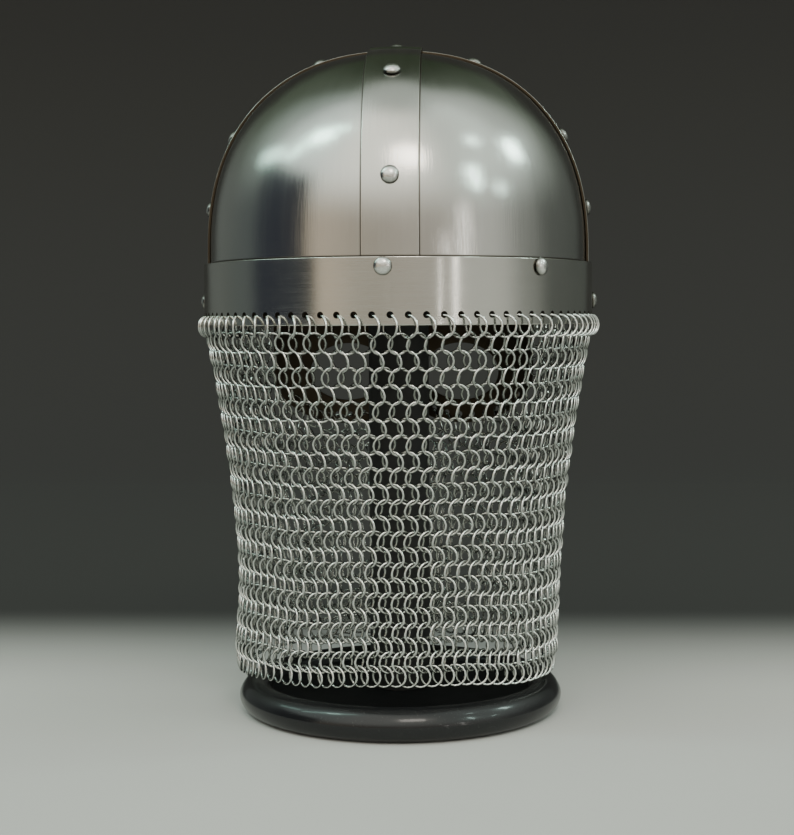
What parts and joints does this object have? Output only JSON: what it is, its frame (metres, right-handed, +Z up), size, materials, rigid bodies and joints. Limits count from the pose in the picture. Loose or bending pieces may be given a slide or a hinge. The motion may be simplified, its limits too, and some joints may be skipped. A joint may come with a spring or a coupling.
{
  "type": "viking spectacle helmet on a plain stand",
  "caption": "Domed riveted steel helmet with crossed bands, a spectacle guard and a linked-ring mail curtain hung from its rim, held on a plain black stand with a round foot.",
  "frame": {"origin": "centre of the stand's underside, on the surface that it stands on", "axes": "+Z up through the crown; -Y is the way the spectacle guard faces; +X is the wearer's left"},
  "size_m": [0.204, 0.243, 0.3411],
  "materials": {
    "sheet_steel": "satin polished sheet, brushed in one direction",
    "rivet_steel": "bright domed rivets",
    "mail_steel": "plain bright wire rings",
    "black_lacquer": "glossy black",
    "black_paint": "satin black",
    "pad_leather": "black, lightly grained"
  },
  "bodies": {
    "root": {"skull_bowl": "sheet_steel", "side_band": "sheet_steel", "front_back_band": "sheet_steel", "brow_band": "sheet_steel", "spectacle_guard": "sheet_steel", "rivet_01": "rivet_steel", "rivet_02": "rivet_steel", "rivet_03": "rivet_steel", "rivet_04": "rivet_steel", "rivet_05": "rivet_steel", "rivet_06": "rivet_steel", "rivet_07": "rivet_steel", "rivet_08": "rivet_steel", "rivet_09": "rivet_steel", "rivet_10": "rivet_steel", "rivet_11": "rivet_steel", "rivet_12": "rivet_steel", "rivet_13": "rivet_steel", "rivet_14": "rivet_steel", "rivet_15": "rivet_steel", "rivet_16": "rivet_steel", "rivet_17": "rivet_steel", "rivet_18": "rivet_steel", "rivet_19": "rivet_steel", "rivet_20": "rivet_steel", "rivet_21": "rivet_steel", "mail_aventail": "mail_steel", "stand_base": "black_lacquer", "stand_post": "black_paint", "stand_pad": "pad_leather"}
  },
  "joints": []
}
